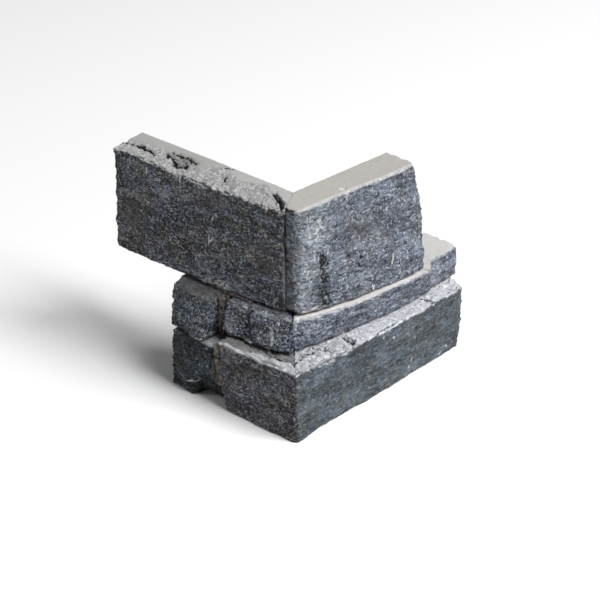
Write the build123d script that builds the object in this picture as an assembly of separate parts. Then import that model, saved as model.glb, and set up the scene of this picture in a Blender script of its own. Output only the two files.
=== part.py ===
from build123d import *
from math import pi, sin
import os

os.makedirs("parts", exist_ok=True)

# A wall-cladding corner of split stone, in millimetres, +Z up. The two sawn backs meet at the
# upright line x = 0, y = 0: the left leg runs along -X with its back on y = 0, the right leg
# runs along +Y with its back on x = 0. Three courses of split stone strips are bonded together.
# The finished pieces are moved so that the origin lies in the middle of the foot.
# A depth is measured from the sawn back to the split face. FAR is the end away from the corner,
# NEAR the end at the corner. A lean is how much deeper a face is at its foot than at its top,
# and the two bulges are those at its foot and at its top.

# Heights of the courses and of the adhesive beds between them
HEIGHT = 150.0
BED = 1.5
BOTTOM_TOP = 50.0
MIDDLE_FOOT = BOTTOM_TOP + BED
MIDDLE_TOP = 74.0
TOP_FOOT = MIDDLE_TOP + BED
LOW_BED = 44.5
LOW_FOOT = LOW_BED + BED

# Adhesive in the mitres, and how far all mortar stays back from a face
MITRE_GLUE = 0.8
RECESS = 2.5

# Top course, long stone of the left leg
TL_LENGTH_BACK = 150.5
TL_LENGTH_FRONT = 143.2
TL_END_LEAN = 1.3
TL_DEEP_FAR = 33.0
TL_DEEP_NEAR = 22.5
TL_LEAN_FAR = 1.0
TL_LEAN_NEAR = -1.0
TL_BULGES = (6.0, 1.5)
TOP_MITRE_X = 16.0
TOP_MITRE_Y = -25.0

# The edge broken off its top: sawn width left at the back along the length, and its drop
SHOULDER_FAR = 14.0
SHOULDER_MID = 4.0
SHOULDER_NEAR = 17.0
SHOULDER_DROP = 4.5

# Top course, short stone of the right leg
TR_END = 90.5
TR_RETURN = 23.5
TR_END_SKEW = 0.1
TR_DEEP_NEAR = 24.0
TR_DEEP_FAR = 32.5
TR_LEAN_NEAR = -2.0
TR_LEAN_FAR = 10.0
TR_BULGES = (9.0, 0.5)
TR_KNOB = 2.5
TR_KNOB_HEIGHT = 112.0

# Middle course, end stone and middle stone of the left leg
ME_LEFT = -69.5
ME_LEFT_BACK = -77.0
ME_END_SKEW = 0.42
ME_RIGHT = -35.0
ME_DEEP_FAR = 49.5
ME_DEEP_NEAR = 49.5
ME_LEAN_FAR = 5.0
ME_LEAN_NEAR = 9.0
ML_LEFT = -29.0
ML_DEEP_FAR = 41.0
ML_DEEP_NEAR = 27.5
ML_LEAN = 6.5
ML_BULGES = (3.0, 0.5)

# Middle course, long stone of the right leg with its step and rounded end
MR_END = 140.5
MR_RETURN = 27.5
MR_DEEP_NEAR = 25.5
MR_DEEP_FAR = 33.0
MR_LEAN_NEAR = 0.0
MR_LEAN_FAR = -1.5
MR_BULGES = (9.0, 14.0)
MR_STEP = 92.0
MR_STEP_DEEP = 34.0
MR_END_RADIUS = 13.0
MR_END_BEVEL = 3.5
MIDDLE_MITRE_X = 25.5
MIDDLE_MITRE_Y = -27.0

# Bottom course, end stone and return stone of the left leg
BE_LEFT = -66.5
BE_LEFT_LEAN = 3.0
BE_RIGHT = -24.0
BE_DEEP = 54.5
BE_BEVEL = 11.0
BE_NOTCH_X = -42.0
BE_NOTCH_DEEP = 43.5
BE_NOTCH_HIGH = 14.0
BL_LEFT_TOP = -22.0
BL_LEFT_FOOT = -14.5
BL_DEEP_FAR = 53.2
BL_DEEP_NEAR = 49.5
BL_LEAN_FAR = -0.6
BL_LEAN_NEAR = 5.0

# Bottom course, long stone of the right leg
BR_END = 127.0
BR_END_SKEW = 0.2
BR_DEEP_NEAR = 50.0
BR_DEEP_FAR = 45.0
BR_LEAN_NEAR = 3.5
BR_LEAN_FAR = -2.5
BR_BULGES = (-0.5, 3.0)
BOTTOM_MITRE_X = 50.0
BOTTOM_MITRE_Y = -50.0

# How many upright cuts a split face is carried through, how fast a bulge rises, and the waves
STATIONS = 11
LEVELS = 5
BULGE_RISE = 0.55
WAVE = 0.8

# Spare length beyond a cut, so that the cut makes the whole end
SPARE = 12.0


def depth(u, v, far, near, bulges, leans, seed):
    """Depth of a split face: straight from far to near, a broad bulge, a lean, long low waves."""
    straight = far + (near - far) * u
    lean = leans[0] + (leans[1] - leans[0]) * u
    arch = sin(pi * min(max(u, 0.02), 0.98)) ** BULGE_RISE
    bulge = (bulges[0] + (bulges[1] - bulges[0]) * v) * arch
    wave = WAVE * sin(5.1 * u + 2.3 * v + seed) + 0.6 * WAVE * sin(11.0 * u - 3.7 * v + 2.1 * seed)
    return straight + bulge + lean * (0.5 - v) + wave * arch


def split_strip(length, foot, top, far, near, bulges, leans, seed):
    """A strip lying along +X from 0 to length, sawn on y = 0 and on its two beds, split in front."""
    over = 3.0
    rows = []
    for i in range(STATIONS):
        u = i / (STATIONS - 1)
        edge = []
        for j in range(LEVELS):
            v = (j - 0.2) / (LEVELS - 1.4)
            d = depth(u, v, far, near, bulges, leans, seed)
            edge.append((length * u, -d, foot + (top - foot) * v))
        front = Edge.make_spline([Vector(*p) for p in edge])
        low_back = (length * u, over, edge[0][2])
        high_back = (length * u, over, edge[-1][2])
        corners = [edge[-1], high_back, low_back, edge[0]]
        sides = [Edge.make_line(a, b) for a, b in zip(corners, corners[1:])]
        rows.append(Wire([front] + sides))
    body = Solid.make_loft(rows)
    sawn = Pos(0, -100, foot) * Box(length, 100, top - foot, align=(Align.MIN, Align.MIN, Align.MIN))
    return body & sawn


def left_leg(x_far, x_near, foot, top, far, near, bulges, leans, seed):
    """A strip on the left leg, its sawn back on y = 0."""
    return Pos(x_far, 0, 0) * split_strip(x_near - x_far, foot, top, far, near, bulges, leans, seed)


def right_leg(y_near, y_far, foot, top, near, far, bulges, leans, seed):
    """A strip on the right leg, its sawn back on x = 0, the corner end at y_near."""
    strip = split_strip(y_far - y_near, foot, top, near, far, bulges, leans, seed)
    return Pos(0, y_near, 0) * Rot(0, 0, 90) * strip


def cut_off(shape, point, outward):
    """Break away everything beyond a plane through the point that faces outward."""
    flat = Plane(origin=point, z_dir=outward)
    return shape.split(flat, keep=Keep.BOTTOM)


def mitred(shape, x, y, side):
    """Saw a stone on the mitre, half the glue back. Side +1 keeps the left leg, -1 the right leg."""
    length = (x * x + y * y) ** 0.5
    nx = -y / length * side
    ny = x / length * side
    half = MITRE_GLUE / 2
    return cut_off(shape, (nx * -half, ny * -half, 0), (nx, ny, 0))


def block(x0, x1, y0, y1, z0, z1):
    """A plain box between two corners."""
    return Pos(x0, y0, z0) * Box(x1 - x0, y1 - y0, z1 - z0, align=(Align.MIN, Align.MIN, Align.MIN))


def broken_shoulder(stops, front, drop):
    """The wedge missing from a top front edge. Each stop is a place along X and the sawn width
    that is left there; the break falls from it to the given drop at the face."""
    over = HEIGHT + 1
    rows = []
    for x, sawn in stops:
        outline = [(x, -sawn, over), (x, -sawn, HEIGHT), (x, -front, HEIGHT - drop), (x, -front, over)]
        rows.append(Wire.make_polygon(outline, close=True))
    return Solid.make_loft(rows, ruled=True)


# Top course, long left stone. Its end leans outward at the top and its top front edge is broken.
tl_front = TL_DEEP_FAR + TL_BULGES[0]
tl = left_leg(
    -TL_LENGTH_BACK - SPARE, TOP_MITRE_X + SPARE, TOP_FOOT, HEIGHT,
    TL_DEEP_FAR, TL_DEEP_NEAR, TL_BULGES, (TL_LEAN_FAR, TL_LEAN_NEAR), 0.4,
)
tl_skew = TL_LENGTH_BACK - TL_LENGTH_FRONT
tl_rise = HEIGHT - TOP_FOOT
tl = cut_off(
    tl, (-TL_LENGTH_BACK, 0, HEIGHT),
    (-TL_DEEP_FAR, -tl_skew, -TL_DEEP_FAR * TL_END_LEAN / tl_rise),
)
tl_stops = [
    (-TL_LENGTH_BACK - SPARE, SHOULDER_FAR),
    (-0.6 * TL_LENGTH_BACK, 0.7 * SHOULDER_FAR),
    (-0.48 * TL_LENGTH_BACK, SHOULDER_FAR),
    (-0.42 * TL_LENGTH_BACK, SHOULDER_MID),
    (-0.24 * TL_LENGTH_BACK, 3 * SHOULDER_MID),
    (-0.15 * TL_LENGTH_BACK, SHOULDER_MID),
    (TOP_MITRE_X, SHOULDER_NEAR),
]
tl = tl - broken_shoulder(tl_stops, tl_front, SHOULDER_DROP)
tl = mitred(tl, TOP_MITRE_X, TOP_MITRE_Y, 1)

# Top course, short right stone. Its far end is a break with a knob at half height.
tr = right_leg(
    -TR_RETURN, TR_END + SPARE, TOP_FOOT, HEIGHT,
    TR_DEEP_NEAR, TR_DEEP_FAR, TR_BULGES, (TR_LEAN_NEAR, TR_LEAN_FAR), 1.7,
)
tr_out = TR_KNOB + TR_END_SKEW * (TR_DEEP_FAR - TR_DEEP_NEAR)
tr_tip = (TR_DEEP_FAR, TR_END + TR_KNOB, TR_KNOB_HEIGHT)
tr = cut_off(tr, tr_tip, (TR_END_SKEW, 1, tr_out / (HEIGHT - TR_KNOB_HEIGHT)))
tr = cut_off(tr, tr_tip, (2 * TR_END_SKEW, 1, -TR_KNOB / (TR_KNOB_HEIGHT - TOP_FOOT)))
tr = mitred(tr, TOP_MITRE_X, TOP_MITRE_Y, -1)

# Middle course, end stone of the left leg, its end a slanting break with the lower corner off
me = left_leg(
    ME_LEFT_BACK, ME_RIGHT, LOW_FOOT, MIDDLE_TOP,
    ME_DEEP_FAR, ME_DEEP_NEAR, (1.0, 1.0), (ME_LEAN_FAR, ME_LEAN_NEAR), 2.6,
)
me = cut_off(me, (ME_LEFT, -ME_DEEP_FAR, 0), (-1, -ME_END_SKEW, 0))
me = cut_off(me, (ME_LEFT + 2, -ME_DEEP_FAR, LOW_FOOT), (-1, -ME_END_SKEW, -0.7))

# Middle course, middle stone of the left leg, its lower left corner broken
ml = left_leg(
    ML_LEFT, MIDDLE_MITRE_X + SPARE, MIDDLE_FOOT, MIDDLE_TOP,
    ML_DEEP_FAR, ML_DEEP_NEAR, ML_BULGES, (ML_LEAN, ML_LEAN), 3.9,
)
ml = mitred(ml, MIDDLE_MITRE_X, MIDDLE_MITRE_Y, 1)
ml = cut_off(ml, (ML_LEFT, -ML_DEEP_FAR, MIDDLE_FOOT + 5), (-0.8, -0.4, -0.9))

# Middle course, long right stone: a step in its face where the stone above ends, then a rounded
# end that is bevelled above and below
mr = right_leg(
    -MR_RETURN, MR_END, MIDDLE_FOOT, MIDDLE_TOP,
    MR_DEEP_NEAR, MR_DEEP_FAR, MR_BULGES, (MR_LEAN_NEAR, MR_LEAN_FAR), 0.9,
)
step = [
    (MR_STEP_DEEP, MR_END + 1),
    (MR_STEP_DEEP, MR_STEP + SPARE),
    (MR_STEP_DEEP + SPARE, MR_STEP - 2),
    (2 * MR_STEP_DEEP, MR_STEP),
    (2 * MR_STEP_DEEP, MR_END + 1),
]
mr = mr - Pos(0, 0, BOTTOM_TOP) * extrude(Face(Wire.make_polygon(step)), amount=HEIGHT, dir=(0, 0, 1))
middle_height = (MIDDLE_FOOT + MIDDLE_TOP) / 2
end_corner = (MR_STEP_DEEP, MR_END, middle_height)
mr = fillet(mr.edges().filter_by(Axis.Z).sort_by_distance(end_corner)[0], MR_END_RADIUS)
bevel = MR_END_BEVEL / (MIDDLE_TOP - middle_height)
mr = cut_off(mr, (0, MR_END, middle_height), (0, 1, bevel))
mr = cut_off(mr, (0, MR_END, middle_height), (0, 1, -bevel))
mr = mitred(mr, MIDDLE_MITRE_X, MIDDLE_MITRE_Y, -1)

# Bottom course, end stone of the left leg: leaning end, bevelled foot and broken lower corner
be = left_leg(
    BE_LEFT, BE_RIGHT, 0, LOW_BED,
    BE_DEEP, BE_DEEP - 1, (0.5, 0.5), (0, 0), 5.0,
)
be = cut_off(be, (BE_LEFT, -BE_DEEP, BE_BEVEL), (0.02, -1, -0.12))
be = cut_off(be, (BE_LEFT, 0, 0), (-LOW_BED, 0, BE_LEFT_LEAN))
be = be - block(BE_NOTCH_X, 0, -2 * BE_DEEP, -BE_NOTCH_DEEP, -1, BE_NOTCH_HIGH)

# Bottom course, return stone on the left leg, its free end leaning
bl = left_leg(
    BL_LEFT_TOP - SPARE, BOTTOM_MITRE_X + SPARE, 0, BOTTOM_TOP,
    BL_DEEP_FAR, BL_DEEP_NEAR, (0.3, 0.3), (BL_LEAN_FAR, BL_LEAN_NEAR), 6.2,
)
bl = cut_off(bl, (BL_LEFT_TOP, 0, BOTTOM_TOP), (-BOTTOM_TOP, 0, BL_LEFT_TOP - BL_LEFT_FOOT))
bl = mitred(bl, BOTTOM_MITRE_X, BOTTOM_MITRE_Y, 1)

# Bottom course, long right stone
br = right_leg(
    BOTTOM_MITRE_Y - SPARE, BR_END + SPARE, 0, BOTTOM_TOP,
    BR_DEEP_NEAR, BR_DEEP_FAR, BR_BULGES, (BR_LEAN_NEAR, BR_LEAN_FAR), 4.4,
)
br = cut_off(br, (BR_DEEP_FAR, BR_END, 0), (BR_END_SKEW, 1, 0))
br = mitred(br, BOTTOM_MITRE_X, BOTTOM_MITRE_Y, -1)


def bed(foot, left, front, outer, end):
    """One thin L-shaped bed, kept back from every face."""
    outline = [
        (left, -RECESS), (left, -front), (outer, -front), (outer, end), (RECESS, end), (RECESS, -RECESS),
    ]
    return Pos(0, 0, foot) * extrude(Face(Wire.make_polygon(outline)), amount=BED, dir=(0, 0, 1))


def glue(x, y, foot, top):
    """The plate of glue between two mitred stones, kept back from the face and the inner corner."""
    length = (x * x + y * y) ** 0.5
    plate = Box(length - 2 * RECESS, MITRE_GLUE, top - foot, align=(Align.MIN, Align.CENTER, Align.MIN))
    turn = Vector(1, 0, 0).get_signed_angle(Vector(x, y, 0), Vector(0, 0, 1))
    return Pos(0, 0, foot) * Rot(0, 0, turn) * Pos(RECESS, 0, 0) * plate


# Bonding mortar: three beds, the glued mitres and the upright joints, one connected mass
mortar = bed(BOTTOM_TOP, BL_LEFT_TOP, ML_DEEP_NEAR, MR_DEEP_NEAR - RECESS, BR_END - RECESS)
mortar += bed(MIDDLE_TOP, ME_LEFT + SPARE, TL_DEEP_NEAR - RECESS, TR_DEEP_NEAR - RECESS, TR_END - RECESS)
mortar += block(ME_LEFT + SPARE, BL_LEFT_TOP, -ML_DEEP_FAR + RECESS, -RECESS, LOW_BED, LOW_FOOT)
mortar += glue(TOP_MITRE_X, TOP_MITRE_Y, MIDDLE_TOP, HEIGHT - 1)
mortar += glue(MIDDLE_MITRE_X, MIDDLE_MITRE_Y, BOTTOM_TOP, MIDDLE_TOP)
mortar += glue(BOTTOM_MITRE_X, BOTTOM_MITRE_Y, 1, MIDDLE_FOOT)
mortar += block(ME_RIGHT, ML_LEFT, -ML_DEEP_FAR + RECESS, -RECESS, LOW_BED, MIDDLE_TOP)
mortar += block(ME_RIGHT, BL_LEFT_TOP, -ML_DEEP_FAR + 2 * RECESS, -RECESS, LOW_BED, MIDDLE_FOOT)
joint = [(BE_RIGHT, 1), (BL_LEFT_FOOT, 1), (BL_LEFT_TOP, BOTTOM_TOP), (BE_RIGHT, BOTTOM_TOP)]
joint_face = Face(Wire.make_polygon([(x, -RECESS, z) for x, z in joint]))
mortar += extrude(joint_face, amount=BE_NOTCH_DEEP - 2 * RECESS, dir=(0, -1, 0))
mortar -= bl

nodes = {
    "top_left_stone": tl,
    "top_right_stone": tr,
    "middle_end_stone": me,
    "middle_left_stone": ml,
    "middle_right_stone": mr,
    "bottom_end_stone": be,
    "bottom_left_stone": bl,
    "bottom_right_stone": br,
    "joint_mortar": mortar,
}

# The part's origin is the middle of its foot
middle = Compound(children=[node.solids()[0] for node in nodes.values()]).bounding_box().center()
for name, node in nodes.items():
    solids = node.solids()
    assert len(solids) == 1, name
    placed = Pos(-middle.X, -middle.Y, 0) * solids[0]
    export_step(placed, f"parts/{name}.step")
    print(name, round(placed.volume / 1000, 1), placed.bounding_box())
print("inner corner at", round(-middle.X, 3), round(-middle.Y, 3))
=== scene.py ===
import bpy
import numpy as np
from mathutils import Matrix, Vector


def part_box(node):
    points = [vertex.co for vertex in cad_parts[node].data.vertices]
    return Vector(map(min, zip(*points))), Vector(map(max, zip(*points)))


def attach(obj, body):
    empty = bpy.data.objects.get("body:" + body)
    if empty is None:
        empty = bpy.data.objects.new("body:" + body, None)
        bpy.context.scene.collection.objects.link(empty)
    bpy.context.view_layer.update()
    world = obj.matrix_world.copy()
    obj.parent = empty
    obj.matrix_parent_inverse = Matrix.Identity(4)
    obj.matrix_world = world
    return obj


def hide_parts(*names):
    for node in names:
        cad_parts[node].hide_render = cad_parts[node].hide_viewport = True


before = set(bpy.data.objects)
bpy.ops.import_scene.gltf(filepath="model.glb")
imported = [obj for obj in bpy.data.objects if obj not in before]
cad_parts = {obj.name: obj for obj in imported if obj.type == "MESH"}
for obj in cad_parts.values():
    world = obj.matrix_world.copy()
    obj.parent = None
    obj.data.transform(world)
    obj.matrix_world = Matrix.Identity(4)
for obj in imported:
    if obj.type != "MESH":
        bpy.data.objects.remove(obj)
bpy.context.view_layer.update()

# The corner line
# The unit wraps an outside wall corner. Its two sawn backs meet in one upright line, and every
# stone is set out from that line in millimetres: the left leg runs along -X, the right along +Y.
corner_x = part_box("top_right_stone")[0][0]
corner_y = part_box("top_left_stone")[1][1]
course_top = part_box("top_left_stone")[1][2] * 1000

# Long stone of the top course, left leg
# A strip of dark quartzite slate, split in front and sawn on its back, beds and mitre, laid in
# adhesive. Its top front edge broke away with the split, down from the sawn band along the back.
slope_order = np.random.default_rng(11).permutation(256)
slopes = np.random.default_rng(12).normal(size=(256, 3))
slopes /= np.linalg.norm(slopes, axis=1)[:, None]
top_foot = 75.5
top_mitre = (16.0, -25.0)
START, FINISH, BACK, FACE, FOOT, TOP = range(6)
INWARD = np.array([[1, 0, 0], [-1, 0, 0], [0, 1, 0], [0, -1, 0], [0, 0, 1], [0, 0, -1]])


def swell(points, size, octaves=1, gain=0.5):
    """Smooth random height, about -1 to 1. Each whole-numbered place has a random slope; a point
    blends those of the eight places round it by the curve 6t^5 - 15t^4 + 10t^3. Every further
    octave adds the same at half the size and gain times the height."""
    total = np.zeros(len(points))
    height = 1.0
    for octave in range(octaves):
        spot = points / (np.asarray(size, float) / 2 ** octave) + 17.3 * octave + 31.7
        cell = np.floor(spot).astype(int)
        part = spot - cell
        fade = part ** 3 * (part * (part * 6 - 15) + 10)
        for step in np.ndindex(2, 2, 2):
            at = cell + step
            pick = slope_order[at[:, 0] & 255]
            pick = slope_order[(pick + at[:, 1]) & 255]
            pick = slope_order[(pick + at[:, 2]) & 255]
            rise = ((part - step) * slopes[pick]).sum(axis=1)
            total += height * rise * np.where(step, fade, 1 - fade).prod(axis=1)
        height *= gain
    return total * 1.7


def ease(value, low, high):
    """From 0 at low to 1 at high along the curve 3t^2 - 2t^3."""
    t = np.clip((value - low) / (high - low), 0, 1)
    return t * t * (3 - 2 * t)


def block_skin(cells):
    """Skin of a block: each of its six sides is a grid of two parameters with the third held at
    0 or 1, and the grids are welded where they meet. Gives the fractions (along, deep, high) of
    every point and the four points of every cell."""
    counts = np.array(cells)
    sides = []
    for axis in range(3):
        one, two = (axis + 1) % 3, (axis + 2) % 3
        i, j = np.meshgrid(np.arange(counts[one]), np.arange(counts[two]), indexing="ij")
        for end in (0, 1):
            ring = ((0, 0), (0, 1), (1, 1), (1, 0)) if end else ((0, 0), (1, 0), (1, 1), (0, 1))
            rim = np.zeros(i.shape + (4, 3), int)
            rim[..., axis] = counts[axis] * end
            for n, (di, dj) in enumerate(ring):
                rim[..., n, one] = i + di
                rim[..., n, two] = j + dj
            sides.append(rim.reshape(-1, 4, 3))
    rims = np.concatenate(sides)
    row = counts[2] + 1
    layer = (counts[1] + 1) * row
    keys, cells_of = np.unique(rims @ [layer, row, 1], return_inverse=True)
    place = np.stack([keys // layer, keys // row % (counts[1] + 1), keys % row], axis=1)
    return place / counts, cells_of.reshape(-1, 4)


def split_depth(depths, bulges, leans, seed, run, foot, top):
    """Depth of a split face along its run: straight from the first of depths to the last, plus a
    bulge that rises as sin(pi u)^0.55, plus a lean about mid height, plus two long low waves. The
    bulges are those at foot and top, the leans those at the two ends of the run."""
    def depth(a, z):
        u = (a - run[0]) / (run[1] - run[0])
        v = (z - foot) / (top - foot)
        lean = leans[0] + (leans[1] - leans[0]) * u
        arch = np.sin(np.pi * np.clip(u, 0.02, 0.98)) ** 0.55
        bulge = (bulges[0] + (bulges[1] - bulges[0]) * v) * arch
        wave = np.sin(5.1 * u + 2.3 * v + seed) + 0.6 * np.sin(11 * u - 3.7 * v + 2.1 * seed)
        straight = depths[0] + (depths[1] - depths[0]) * u
        return straight + bulge + lean * (0.5 - v) + 0.8 * wave * arch
    return depth


def on_line(u, v, path, width):
    """1 on the broken line through the points of path, falling as (1 - (d / width)^2)^2 to 0 where
    the distance d from the line's nearest stretch reaches width."""
    nearest = np.full(len(u), 1e9)
    for (u0, v0), (u1, v1) in zip(path, path[1:]):
        share = ((u - u0) * (u1 - u0) + (v - v0) * (v1 - v0)) / ((u1 - u0) ** 2 + (v1 - v0) ** 2)
        share = np.clip(share, 0, 1)
        nearest = np.minimum(nearest, np.hypot(u - u0 - share * (u1 - u0), v - v0 - share * (v1 - v0)))
    return np.clip(1 - (nearest / width) ** 2, 0, None) ** 2


def patch(u, v, centre, reach):
    """A round spot, e^-(d^2), where d is the distance from its centre over its reach each way."""
    return np.exp(-((u - centre[0]) / reach[0]) ** 2 - ((v - centre[1]) / reach[1]) ** 2)


def make_stone(name, node, leg, foot, top, depth, start, finish, look, edges, rough, marks, seed,
               sawn_sides=(BACK, FOOT, TOP), arrises=None, lid=None, chips=(), skew=0.0, grid=0.75):
    """A strip between two breaks start and finish, each a function of depth and height. A point
    stands at its share w of the way from the sawn back to the face depth(a, z). The places where
    the breaks meet the face are found by going half the way to them nine times. Its top is at
    top - lid(a, b). Of the six numbers of edges and rough, one is for each side, START to TOP.
    Each edge is broken by pulling points with g + h < c inward by (c - g - h) / 2 both ways, g and
    h being the distances to its two sides and c the root of their edges' product, or what arrises
    says of the two; chips are planes, each a point, an outward direction and its raggedness, that
    points are set back on to. The relief of a side, high by rough, fades out over 2.5 mm behind it
    and dies away toward a sawn mitre. What marks calls sink is set back in the same way, what it
    calls bare isn't worn, and the rest is painted."""
    length = abs(float(finish(0.0, top)) - float(start(0.0, top)))
    deep = float(np.max(depth(np.linspace(0, 1, 9) * length, (foot + top) / 2)))
    place, rims = block_skin([max(4, round(size / grid)) for size in (length, min(deep, 60), top - foot)])
    t, w, v = place.T
    z = foot + (top - foot) * v
    first, last = start(0 * z, z), finish(0 * z, z)
    for _ in range(9):
        first, last = (first + start(depth(first, z), z)) / 2, (last + finish(depth(last, z), z)) / 2
    front = first + (last - first) * t
    d = depth(front, z)
    b = w * d
    near, far = start(w * depth(first, z), z), finish(w * depth(last, z), z)
    a = near + (far - near) * t
    roof = top - (lid(a, b) if lid else 0 * a)
    z = foot + (roof - foot) * v
    spots = np.stack([a, b, z], axis=1)
    gaps = np.stack([a - near, far - a, b, d - b, z - foot, roof - z])
    drift = spots + seed * 13.7

    push = np.zeros_like(spots)
    broken = np.zeros(len(spots))
    nick = 0.8 + 0.5 * swell(drift, 24) + 0.5 * swell(drift, 8, 2) + 0.4 * swell(drift, 2.6)
    for one in range(6):
        for two in range(one + 1, 6):
            if one // 2 == two // 2:
                continue
            size = (arrises or {}).get((one, two), np.sqrt(edges[one] * edges[two]))
            cut = size * np.clip(nick, 0.15, 2.6)
            bite = np.clip(cut - gaps[one] - gaps[two], 0, None) / 2
            push += bite[:, None] * (INWARD[one] + INWARD[two])
            broken = np.maximum(broken, bite / np.maximum(cut, 0.3))

    grain = np.stack([drift[:, 0], drift[:, 1], drift[:, 2] + skew * drift[:, 0]], axis=1)
    hackle = swell(drift, 6.5, 3, 0.6)
    tooth = swell(drift, 2.3, 2, 0.6)
    split = 0.3 * swell(grain, (22, 9, 2.6), 2) + 0.35 * np.tanh(5 * swell(grain, (26, 12, 9), 2))
    split += 0.35 * hackle + 0.35 * tooth
    mitred = {START, FINISH} & set(sawn_sides)
    for side in mitred:
        split *= ease(gaps[side], 0.3, 7)
    split_sides = [side for side in range(6) if side not in sawn_sides]
    sawn = 1 - np.max([ease(1.2 - gaps[side], 0, 1.2) for side in split_sides], axis=0)
    painted = {"sawn": sawn * (1 - ease(broken, 0.02, 0.3)), "broken": broken, "relief": split}
    painted.update(marks(a, b, z, gaps, painted["sawn"], hackle, tooth))
    sink = painted.pop("sink", 0 * a)
    painted["broken"] *= 1 - painted.pop("bare", 0 * a)
    for side in range(6):
        weight = np.clip(1 - gaps[side] / 2.5, 0, 1) ** 2
        push += (weight * ((side not in mitred) * sink - rough[side] * split))[:, None] * INWARD[side]
    spots = spots + push
    for point, outward, ragged in chips:
        outward = np.array(outward, float) / np.linalg.norm(outward)
        over = (spots - point) @ outward + ragged * hackle + 0.3 * tooth
        spots -= np.clip(over, 0, None)[:, None] * outward
    if foot == 0:
        spots[:, 2] = np.maximum(spots[:, 2], 0)

    mesh = bpy.data.meshes.new(name)
    if leg == "left":
        world = np.stack([spots[:, 0], -spots[:, 1], spots[:, 2]], axis=1)
    else:
        world = np.stack([spots[:, 1], spots[:, 0], spots[:, 2]], axis=1)
    world = world / 1000 + [corner_x, corner_y, 0]
    mesh.from_pydata(world, [], rims.tolist())
    mesh.polygons.foreach_set("use_smooth", np.ones(len(mesh.polygons), bool))
    mesh.set_sharp_from_angle(angle=np.radians(60))
    mesh.update()
    normals = np.zeros(3 * len(world), np.float32)
    mesh.vertices.foreach_get("normal", normals)
    painted["up"] = ease(normals.reshape(-1, 3)[:, 2], 0.45, 0.85)
    for mark, values in painted.items():
        mesh.attributes.new(mark, "FLOAT", "POINT").data.foreach_set("value", values.astype(np.float32))
    mesh.materials.append(look)
    stone = bpy.data.objects.new(name, mesh)
    bpy.context.scene.collection.objects.link(stone)
    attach(stone, "root")
    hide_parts(node)


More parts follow.
